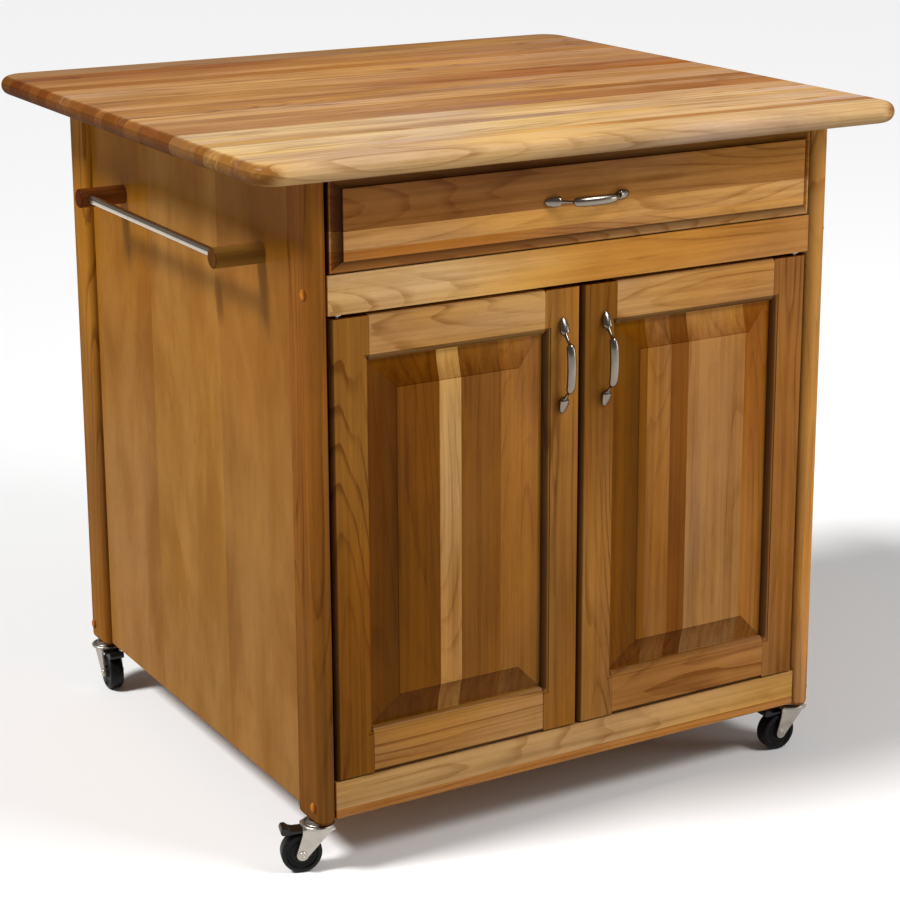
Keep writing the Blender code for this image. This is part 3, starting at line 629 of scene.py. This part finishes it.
def sticking():
    """The moulded inner edge of a door frame: distance from the edge and depth under the face."""
    reach = STICKING_WIDTH - 0.0005
    drop = STICKING_DEPTH - STICKING_QUIRK
    steps = 7
    points = []
    for step in range(steps + 1):
        angle = math.radians(90 * (1 - step / steps))
        points.append((reach * (1 - math.sin(angle)), STICKING_DEPTH - drop * math.cos(angle)))
    return points + [(STICKING_WIDTH - 0.0003, 0.0002), (STICKING_WIDTH, 0.0)]


def stick_depth(distance):
    """The depth of the moulding at a distance from the inner edge."""
    points = sticking()
    for (near, deep), (far, shallow) in zip(points, points[1:]):
        if distance <= far:
            share = max(distance - near, 0.0) / (far - near)
            return deep + (shallow - deep) * share
    return 0.0


def member_section(width, thickness, rounding, distances, least=0.0):
    """A frame member: outer edge, face, moulded inner edge, groove and back. least stops the moulding."""
    points = arc((rounding, rounding), rounding, 180, 270, 6)
    points += [(width - distance, stick_depth(max(distance, least))) for distance in reversed(distances)]
    points += [(width, GROOVE[0]), (width - GROOVE_DEPTH, GROOVE[0]), (width - GROOVE_DEPTH, GROOVE[1]),
               (width, GROOVE[1]), (width, thickness - 0.0008), (width - 0.0008, thickness),
               (0.0015, thickness), (0.0, thickness - 0.0015)]
    return points


def stile_shape(node, outer, inwards, opening):
    """An upright. Its moulding runs between the rails and turns the corner in a mitre at both ends."""
    low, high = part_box(node)
    width, thickness = high.x - low.x, high.y - low.y
    distances = [distance for distance, _ in sticking()]
    stations = [(low.z, STICKING_WIDTH), (low.z + 0.001, STICKING_WIDTH)]
    stations += [(opening[0] - distance, distance) for distance in reversed(distances)]
    stations += [(opening[1] + distance, distance) for distance in distances]
    stations += [(high.z - 0.001, STICKING_WIDTH), (high.z, STICKING_WIDTH)]
    loops = []
    for height, least in stations:
        section = member_section(width, thickness, STILE_ROUNDING, distances, least)
        loops.append([(outer + inwards * across, low.y + depth, height) for across, depth in section])
    return skinned(loops)


def rail_shape(node, outer, inwards):
    """A rail between the stiles, moulded along its inner edge."""
    low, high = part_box(node)
    distances = [distance for distance, _ in sticking()]
    section = member_section(high.z - low.z, high.y - low.y, RAIL_ROUNDING, distances)
    outline = [(low.y + depth, outer + inwards * across) for across, depth in section]
    return extruded(outline, "X", low.x, high.x)


def raised_shape(low, high, front, steps):
    """A raised panel: nested rectangles. A step is how far it is set in, and how far it lies behind front."""
    loops = []
    for inset, depth in steps:
        y = front + depth
        loops.append([(low.x + inset, y, low.z + inset), (high.x - inset, y, low.z + inset),
                      (high.x - inset, y, high.z - inset), (low.x + inset, y, high.z - inset)])
    return skinned(loops)


def cove(start, end, base, top, steps=14):
    """A hollow slope from base to top: flatter at first, steeper towards its end."""
    points = []
    for step in range(steps + 1):
        share = step / steps
        rise = 0.60 * share + 0.40 * share ** 2
        points.append((start + (end - start) * share, base + (top - base) * rise))
    return points


DOOR_WOOD = {
    "left": {
        "hinge_stile": ("7e4d0e", "8b5d21"), "latch_stile": ("84561f", "976527"),
        "top_rail": ("b5874f", "b78c56"), "bottom_rail": ("9a6d39", "ad7f47"),
        "panel": [(0.100, "693e09", "6a3e0b"), (0.030, "b17f3e", "ba9158"), (0.056, "7e4e17", "7e4f1a"),
                  (0.069, "855825", "91612e")],
    },
    "right": {
        "hinge_stile": ("8e5e2b", "8b5b2b"), "latch_stile": ("8f6333", "784c16"),
        "top_rail": ("b28756", "a77947"), "bottom_rail": ("8a5e35", "98693f"),
        "panel": [(0.054, "79480b", "764807"), (0.036, "8d5d27", "946532"), (0.027, "6f4011", "7a4814"),
                  (0.089, "956c44", "a6743a"), (0.049, "9c6423", "8b5213")],
    },
}


def build_doors():
    for side, name in ((-1, "left"), (1, "right")):
        body = f"door_{name}"
        woods = DOOR_WOOD[name]
        low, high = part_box(f"{body}_raised_panel")
        opening = (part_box(f"{body}_bottom_rail")[1].z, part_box(f"{body}_top_rail")[0].z)
        for part in ("hinge_stile", "latch_stile", "top_rail", "bottom_rail"):
            node = f"{body}_{part}"
            near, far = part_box(node)
            upright = part.endswith("stile")
            middle = (near + far) / 2
            turn = (0.30, 0.55) if upright else (middle.x - 0.08, middle.x + 0.08)
            # painted shade on the mouldings that look down or left, and stain with painted shade where they
            # turn from the front
            material = wood(f"{node}_wood", "Z" if upright else "X", [(1.0, *woods[part])], lines=1.1,
                            turn=turn, stain_and_shade_weights=(0.10, 0.85))
            if upright:
                hinge_side = (part == "hinge_stile") == (side > 0)
                outer, inwards = (far.x, -1) if hinge_side else (near.x, 1)
                shape = stile_shape(node, outer, inwards, opening)
            else:
                outer, inwards = (far.z, -1) if part == "top_rail" else (near.z, 1)
                shape = rail_shape(node, outer, inwards)
            add_piece(f"{node}_moulded", shape, material, body, [node])
        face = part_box(f"{body}_top_rail")[0].y
        tongue = 0.0097
        field = low.y - face
        steps = [(0.0, GROOVE[1] - GAP), (0.0, tongue), (0.0075, tongue)]
        steps += cove(0.0085, 0.0425, tongue, field + 0.0007)
        steps += [(0.0428, field + 0.0002), (0.0433, field), (0.0440, field)]
        # painted shade on the bevels that look down or left
        material = wood(f"{body}_panel_wood", "Z", woods["panel"], "X", low.x, lines=0.4, turn=(0.30, 0.55),
                        stain_and_shade_weights=(0.0, 0.45))
        add_piece(f"{body}_panel_carved", raised_shape(low, high, face, steps), material, body,
                  [f"{body}_raised_panel"], smooth_angle=8)


# ---- drawer

def build_drawer():
    low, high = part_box("drawer_front")
    thickness = high.y - low.y
    steps = [(0.0012, thickness), (0.0, thickness - 0.0012), (0.0, 0.0102), (0.0005, 0.0094)]
    steps += [(0.0013, 0.0090), *cove(0.0030, 0.0140, 0.0088, 0.0026, 7)]
    steps += [(0.0143, 0.0008), (0.0147, 0.0002), (0.0153, 0.0), (0.0160, 0.0)]
    staves = [(0.026, "a36a31", "b4854d"), (0.023, "bd8c4f", "ba8d58"), (0.065, "7f542e", "926637")]
    # stain and painted shade on the bevels turned from the front, and painted shade on those that look down
    # or left
    material = wood("drawer_front_wood", "X", staves, "Z", low.z, turn=(-0.15, 0.15), stain_and_shade_weights=(0.75, 0.20))
    add_piece("drawer_front_carved", raised_shape(low, high, low.y, steps), material, "drawer",
              ["drawer_front"], smooth_angle=12)
    for node, grain in (("drawer_side_left", "Y"), ("drawer_side_right", "Y"), ("drawer_back", "X")):
        material = wood(f"{node}_wood", grain, [(1.0, "b98c55")])
        add_piece(f"{node}_board", board(*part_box(node)), material, "drawer", [node])
    material = wood("drawer_bottom_veneer", "X", [(1.0, "b58750")], lines=0.12, broad=3.0)
    add_piece("drawer_bottom_board", board(*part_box("drawer_bottom"), 0.0003, 1), material, "drawer",
              ["drawer_bottom"])


# ---- pulls

def smooth_path(stations):
    """Catmull-Rom points through stations of equal length."""
    points = []
    between = 5
    last = len(stations) - 1
    for index in range(last):
        p0, p1 = stations[max(index - 1, 0)], stations[index]
        p2, p3 = stations[index + 1], stations[min(index + 2, last)]
        for step in range(between):
            t = step / between
            points.append(tuple(
                0.5 * (2 * b + (c - a) * t + (2 * a - 5 * b + 4 * c - d) * t * t
                       + (3 * b - a - 3 * c + d) * t ** 3)
                for a, b, c, d in zip(p0, p1, p2, p3)
            ))
    return points + [stations[-1]]


def pull_shape(length, reach):
    """An arched pull along Z: spoon feet, thin necks and a full grip. It stands out along -Y from y = 0.

    A station is its distance from the tip, the height of its middle, and half its width and thickness.
    """
    half = length / 2
    grip = reach - 0.0045
    around = 28
    side = [
        (0.0, 0.0008, 0.0010, 0.0007), (0.0020, 0.0016, 0.0036, 0.0014), (0.0060, 0.0027, 0.0053, 0.0026),
        (0.0110, 0.0039, 0.0063, 0.0038), (0.0155, 0.0048, 0.0066, 0.0047), (0.0180, 0.0053, 0.0060, 0.0048),
        (0.0192, 0.0058, 0.0046, 0.0040), (0.0199, 0.0065, 0.0029, 0.0029), (0.0225, 0.0092, 0.0022, 0.0021),
        (0.0265, grip - 0.0092, 0.0020, 0.0019), (0.0300, grip - 0.0058, 0.0022, 0.0021),
        (0.0311, grip - 0.0047, 0.0040, 0.0033), (0.0330, grip - 0.0036, 0.0053, 0.0042),
        (0.0380, grip - 0.0020, 0.0058, 0.0044), (0.0460, grip - 0.0008, 0.0061, 0.0045),
        (half, grip, 0.0062, 0.0045),
    ]
    stations = [(along - half, *rest) for along, *rest in side]
    stations += [(-along, *rest) for along, *rest in stations[-2::-1]]
    path = smooth_path(stations)
    loops = []
    for index, (along, height, wide, thick) in enumerate(path):
        before, after = path[max(index - 1, 0)], path[min(index + 1, len(path) - 1)]
        run = Vector((after[0] - before[0], after[1] - before[1])).normalized()
        loop = []
        for step in range(around):
            angle = 2 * math.pi * step / around
            out = thick * math.sin(angle)
            loop.append((wide * math.cos(angle), -max(height + run.x * out, 0.0), along - run.y * out))
        loops.append(loop)
    return skinned(loops)


def screw_head(radius, height):
    """A pan-head screw's head on the plane z = 0, with a cross recess."""
    profile = [(0.0, 0.0), (radius, 0.0), (radius, height * 0.35)]
    profile += domed(radius, height * 0.35, height * 0.65, 6)
    profile.append((0.0, height))
    slots = []
    reach = radius * 0.55
    for turn in (0, 90):
        bar = board((-reach, -0.0004, height * 0.45), (reach, 0.0004, height * 1.5), 0.0001, 1)
        slots.append(placed(bar, turn=turn))
    return boolean("DIFFERENCE", turned(profile, 24), *slots)


def add_screw(name, place, turn, axis, body="cabinet", size=(0.0034, 0.0013)):
    """A screw head whose top looks along +Z turned by an angle in degrees about an axis."""
    add_piece(name, placed(screw_head(*size), place, turn, axis), STEEL, body)


def build_pulls():
    """The three pulls and the screws that hold them from behind."""
    spread = 0.044  # from the middle of a pull to each screw
    for body in ("door_left", "door_right", "drawer"):
        node = f"{body}_pull"
        low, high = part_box(node)
        lying = body == "drawer"
        length = high.x - low.x if lying else high.z - low.z
        centre = (low + high) / 2
        shape = pull_shape(length, high.y - low.y)
        placed(shape, (centre.x, high.y, centre.z), 90 if lying else 0, "Y")
        add_piece(f"{node}_cast", shape, NICKEL, body, [node], smooth_angle=60)
        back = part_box("drawer_front" if lying else f"{body}_latch_stile")[1].y
        for side, end in ((-1, "low"), (1, "high")):
            offset = Vector((side * spread, 0, 0)) if lying else Vector((0, 0, side * spread))
            add_screw(f"{body}_pull_screw_{end}", Vector((centre.x, back, centre.z)) + offset, -90, "X", body,
                      (0.0036, 0.0019))


# ---- towel bar

def build_towel_bar():
    """Two turned holders, a polished rod in their bores, and the screws inside the cabinet."""
    rod_low, rod_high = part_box("towel_bar_rod")
    rod = (rod_low + rod_high) / 2
    radius = (rod_high.x - rod_low.x) / 2
    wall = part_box("side_panel_left")[1].x
    for name, inwards, code in (("front", 1, "7a5520"), ("rear", -1, "6a3a16")):
        node = f"towel_bar_holder_{name}"
        low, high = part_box(node)
        centre = (low + high) / 2
        length = high.x - low.x
        size = (high.z - low.z) / 2
        ease = 0.0030
        rim = arc((size - ease, length - ease), ease, 0, 90, 6)
        peg = turned([(0.0, 0.0), (size, 0.0), *rim, (0.0, length)], 56, "X")
        placed(peg, (high.x, centre.y, centre.z), 180)
        reach = 0.012
        deep = 0.03
        start = centre.y + inwards * (size - reach)
        bore = turned([(0.0, 0.0), (radius + GAP, 0.0), (radius + GAP, deep), (0.0, deep)], 32, "Y")
        placed(bore, (rod.x, start if inwards > 0 else start - deep, rod.z))
        material = wood(f"towel_holder_{name}_wood", "X", [(1.0, code)])
        add_piece(f"{node}_turned", boolean("DIFFERENCE", peg, bore), material, "cabinet", [node])
        add_screw(f"towel_bar_screw_{name}", (wall, centre.y, centre.z), 90, "Y", size=(0.0042, 0.0022))
    half = (rod_high.y - rod_low.y) / 2
    ease = 0.0006
    profile = [(0.0, -half), (radius - ease, -half), (radius, -half + ease), (radius, half - ease),
               (radius - ease, half), (0.0, half)]
    bar = placed(turned(profile, 40, "Y"), rod)
    add_piece("towel_bar_rod_polished", bar, CHROME, "cabinet", ["towel_bar_rod"])


# ---- casters

def fork_shape(axle):
    """A pressed fork: a channel narrowed towards the axle, a bearing cup on it and riveted axle heads.

    A caster stands at the origin, its wheel behind it along -X; axle is the wheel's centre as (x, z).
    """
    outer, sheet, crown, bend = 0.0142, 0.0022, 0.0616, 0.0050
    shoulder = (outer - bend, crown - bend)
    half = [(outer - sheet, 0.0), *arc(shoulder, bend - sheet, 0, 90, 6)]
    inner = half + [(-y, z) for y, z in reversed(half)]
    half = [(outer, 0.0), *arc(shoulder, bend, 0, 90, 8)]
    skin = half + [(-y, z) for y, z in reversed(half)]
    channel = extruded(skin + inner[::-1], "X", -0.04, 0.04)
    outline = [
        *arc(axle, 0.0072, 172, 338, 16), (0.0135, 0.0530),
        *arc((0.0150, 0.0572), 0.0042, -30, 90, 8), *arc((-0.0165, 0.0570), 0.0044, 90, 190, 8),
        (-0.0210, 0.0520),
    ]
    fork = boolean("INTERSECT", channel, extruded(outline, "Y", -0.02, 0.02))
    cup = [
        (0.0045, 0.0570), (0.0160, 0.0570), (0.0190, 0.0574),
        *arc((0.0192, 0.0597), 0.0023, -70, 70, 7), (0.0180, 0.0624), (0.0172, 0.0624), (0.0165, 0.0617),
        (0.0158, 0.0617), (0.0152, 0.0622), (0.0045, 0.0622),
    ]
    tools = [turned(cup, 56)]
    for side in (-1, 1):
        rivet = [
            (0.0, -outer + 0.0005), (0.0056, -outer + 0.0005), (0.0056, 0.0004), (0.0052, 0.0007),
            (0.0044, 0.0007), (0.0041, 0.0013), (0.0034, 0.0018), (0.0022, 0.0018), (0.0018, 0.0011),
            (0.0, 0.0009),
        ]
        head = turned([(radius, outer + height) for radius, height in rivet], 32, "Y")
        tools.append(placed(head, (axle[0], 0.0, axle[1]), 0 if side > 0 else 180))
    return boolean("UNION", fork, *tools)


def wheel_shape(radius, half):
    """A moulded wheel along Y: crowned tread, rounded shoulders, a dished web with a ring, and a hub."""
    side = [
        (0.0034, half + 0.0006), (0.0042, half + 0.0010), (0.0078, half + 0.0006), (0.0084, half),
        (0.0090, half - 0.0022), (0.0100, half - 0.0028), (0.0142, half - 0.0028), (0.0146, half - 0.0022),
        (0.0152, half - 0.0022), (0.0156, half - 0.0028), (0.0184, half - 0.0026), (0.0192, half - 0.0016),
        (0.0197, half - 0.0005), (0.0204, half - 0.0003), (0.0222, half - 0.0006),
        *arc((radius - 0.0034, half - 0.0038), 0.0032, 80, 8, 6), (radius, half * 0.35),
    ]
    return turned(side + [(across, -height) for across, height in reversed(side)], 72, "Y")


def brake_shape(pivot):
    """The pedal: a hub on its pin, an arm over the wheel, and a tab that turns up, ribbed for the toe."""
    x, z = pivot
    outline = [
        *arc((x, z), 0.0020, -80, 70, 6), (x - 0.0040, z + 0.0012), (-0.0250, 0.0557), (-0.0320, 0.0557),
        (-0.0355, 0.0562), (-0.0378, 0.0582), (-0.0386, 0.0582), (-0.0392, 0.0596), (-0.0401, 0.0596),
        (-0.0408, 0.0606), (-0.0420, 0.0606), (-0.0428, 0.0600), (-0.0440, 0.0606), (-0.0455, 0.0602),
        (-0.0470, 0.0578), (-0.0474, 0.0550), (-0.0464, 0.0526), (-0.0440, 0.0514), (-0.0400, 0.0516),
        (-0.0345, 0.0524), (-0.0250, 0.0530), (x - 0.0045, 0.0528),
    ]
    tab = extruded(outline, "Y", -0.0105, 0.0105)
    ends = [edge for edge in tab.edges if abs(edge.verts[0].co.y - edge.verts[1].co.y) < 1e-6]
    bmesh.ops.bevel(tab, geom=ends, offset=0.0005, segments=2, affect="EDGES", profile=0.5)
    pin = turned([(0.0, -0.0138), (0.0013, -0.0138), (0.0015, -0.0136), (0.0015, 0.0136), (0.0013, 0.0138),
                  (0.0, 0.0138)], 20, "Y")
    return boolean("UNION", tab, placed(pin, (x, 0.0, z)))


def stem_shape(low, high):
    """The stem in the post's socket, with its thrust collar above the cup and a riveted head below."""
    profile = [
        (0.0, low), (0.0052, low), (0.0066, low + 0.0005), (0.0070, low + 0.0012), (0.0068, low + 0.0022),
        (0.0040, low + 0.0025), (0.0040, 0.0628), (0.0138, 0.0626), (0.0146, 0.0629), (0.0150, 0.0635),
        (0.0148, 0.0642), (0.0128, 0.0647), (0.0118, 0.0655), (0.0108, 0.0657), (0.0048, 0.0657),
        (0.0048, high - 0.0012), (0.0040, high), (0.0, high),
    ]
    return turned(profile, 56)


def build_casters():
    """The casters, each turned as its wheel lies beside its stem."""
    half_width = 0.0105
    for place in POST_WOOD:
        name = f"caster_{place}"
        stem_low, stem_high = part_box(f"{name}_stem")
        post = (stem_low + stem_high) / 2
        hub = sum(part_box(f"{name}_wheel"), Vector()) / 2
        trail = Vector((post.x - hub.x, post.y - hub.y))
        heading = math.degrees(math.atan2(trail.y, trail.x))
        axle = (-trail.length, hub.z)
        wheel = placed(wheel_shape(hub.z, half_width), (axle[0], 0.0, axle[1]))
        parts = {
            "stem": (stem_shape(stem_low.z, stem_high.z), ZINC, "cabinet", "zinc_plate"),
            "fork": (fork_shape(axle), ZINC, f"{name}_swivel", "zinc_plate"),
            "wheel": (wheel, RUBBER, f"{name}_wheel", "black_rubber"),
            "brake": (brake_shape((-0.0145, 0.0545)), PLASTIC, f"{name}_brake", "black_plastic"),
        }
        for part, (shape, material, body, slot) in parts.items():
            placed(shape, (post.x, post.y, 0.0), heading)
            add_piece(f"{name}_{part}_detailed", shape, material, body, [f"{name}_{part}"])


# ---- small fittings

def build_shelf_pins():
    """Four pins in the side panels, under the shelf."""
    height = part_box("shelf")[0].z - GAP - 0.0026
    profile = [(0.0, 0.0002), (0.0058, 0.0002), (0.0058, 0.0013), (0.0050, 0.0016), (0.0026, 0.0018),
               (0.0026, 0.0105), (0.0019, 0.0112), (0.0, 0.0112)]
    left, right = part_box("side_panel_left")[1].x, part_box("side_panel_right")[0].x
    for name, wall, turn in (("left", left, 0), ("right", right, 180)):
        for end, y in (("front", -0.22), ("rear", 0.26)):
            shape = placed(turned(profile, 32, "X"), (wall, y, height), turn)
            add_piece(f"shelf_pin_{end}_{name}", shape, STEEL, "cabinet")


def add_block(name, low, high, edge, segments, material=STEEL, body="cabinet"):
    add_piece(name, board(low, high, edge, segments), material, body)


def build_catches():
    """Magnetic catches behind the middle rail, each with its strike plate on the back of a door."""
    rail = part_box("front_mid_rail")
    back, bottom = rail[1].y, rail[0].z
    for side, name in ((-1, "left"), (1, "right")):
        x = side * 0.030
        add_block(f"catch_{name}_case", (x - 0.020, back + 0.0016, bottom - 0.0185),
                  (x + 0.020, back + 0.0170, bottom + 0.0075), 0.0012, 3, PLASTIC)
        add_block(f"catch_{name}_bracket", (x - 0.014, back + GAP, bottom + 0.0015),
                  (x + 0.014, back + 0.0019, bottom + 0.0235), 0.0005, 2)
        for number, offset in ((1, -0.008), (2, 0.008)):
            add_screw(f"catch_{name}_screw_{number}", (x + offset, back + 0.0019, bottom + 0.0165), -90, "X")
        for number, height in ((1, -0.0150), (2, -0.0085)):
            add_block(f"catch_{name}_pole_{number}", (x - 0.016, back + 0.0012, bottom + height),
                      (x + 0.016, back + 0.0030, bottom + height + 0.0026), 0.0003, 1)
        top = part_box(f"door_{name}_latch_stile")[1].z
        add_block(f"catch_{name}_strike", (x - 0.015, back + 0.0001, top - 0.0120),
                  (x + 0.015, back + 0.0009, top - 0.0020), 0.0003, 2, body=f"door_{name}")


def build_fixing_screws():
    """The screws that hold the drawer runners and the back panel."""
    for name, side in (("left", -1), ("right", 1)):
        low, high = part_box(f"drawer_runner_{name}")
        face = high.x - 0.0012 if side > 0 else low.x + 0.0012
        height = (low.z + high.z) / 2 + 0.001
        for number, y in enumerate((-0.30, -0.09, 0.12), 1):
            add_screw(f"runner_{name}_screw_{number}", (face, y, height), -90 * side, "Y")
    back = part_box("back_panel")[1].y
    spots = [(side * 0.336, height) for side in (-1, 1) for height in (0.17, 0.34, 0.51, 0.68, 0.84)]
    spots += [(x, height) for height in (0.132, 0.852) for x in (-0.20, 0.0, 0.20)]
    for number, (x, z) in enumerate(spots, 1):
        add_screw(f"back_screw_{number}", (x, back, z), -90, "X")


# ---- stage

def add_light(name, kind, strength, facing):
    """A light whose back is turned in a direction."""
    data = bpy.data.lights.new(name, kind)
    data.energy = strength
    light = add_object(name, data)
    light.rotation_euler = Vector(facing).to_track_quat("Z", "Y").to_euler()
    return light


def build_stage():
    """A pale floor, a white surround, a wide soft sun from the upper left and two soft boxes."""
    shape = bmesh.new()
    bmesh.ops.create_grid(shape, x_segments=8, y_segments=8, size=40.0)
    mesh = bpy.data.meshes.new("studio_floor")
    shape.to_mesh(mesh)
    shape.free()
    material, _, shader = new_material("studio_floor")
    shader.inputs["Base Color"].default_value = (0.86, 0.86, 0.86, 1.0)
    shader.inputs["Roughness"].default_value = 0.9
    mesh.materials.append(material)
    floor = add_object("studio_floor", mesh)
    add_light("key_sun", "SUN", KEY_STRENGTH, KEY_DIRECTION).data.angle = math.radians(KEY_WIDTH)
    for name, (place, size, strength) in SOFT_BOXES.items():
        box = add_light(name, "AREA", strength, Vector(place) - Vector(SOFT_BOX_TARGET))
        box.location = place
        box.data.shape = "SQUARE"
        box.data.size = size
    world = bpy.data.worlds.new("surround")
    world.use_nodes = True
    surround = world.node_tree.nodes["Background"].inputs
    surround["Color"].default_value = (1.0, 1.0, 1.0, 1.0)
    surround["Strength"].default_value = SURROUND
    bpy.context.scene.world = world
    bpy.context.scene.view_settings.view_transform = "Standard"


def build_camera():
    data = bpy.data.cameras.new("camera")
    data.sensor_width = 36.0
    data.lens = CAMERA_LENS
    data.shift_x, data.shift_y = CAMERA_SHIFT
    camera = add_object("camera", data)
    camera.location = CAMERA_PLACE
    camera.rotation_euler = (math.radians(90 - CAMERA_DIP), 0.0, math.radians(-CAMERA_TURN))
    bpy.context.scene.camera = camera


def finish_carried_over():
    """Materials for the CAD nodes that stay as they are."""
    finishes = {"pin": STEEL, "bush": NYLON, "runner": EPOXY}
    for name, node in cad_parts.items():
        for word, material in finishes.items():
            if word in name and not node.hide_render:
                for place in node.material_slots:
                    place.material = material


build_camera()
build_stage()
build_worktop()
build_cabinet()
build_doors()
build_drawer()
build_pulls()
build_towel_bar()
build_casters()
build_shelf_pins()
build_catches()
build_fixing_screws()
finish_carried_over()
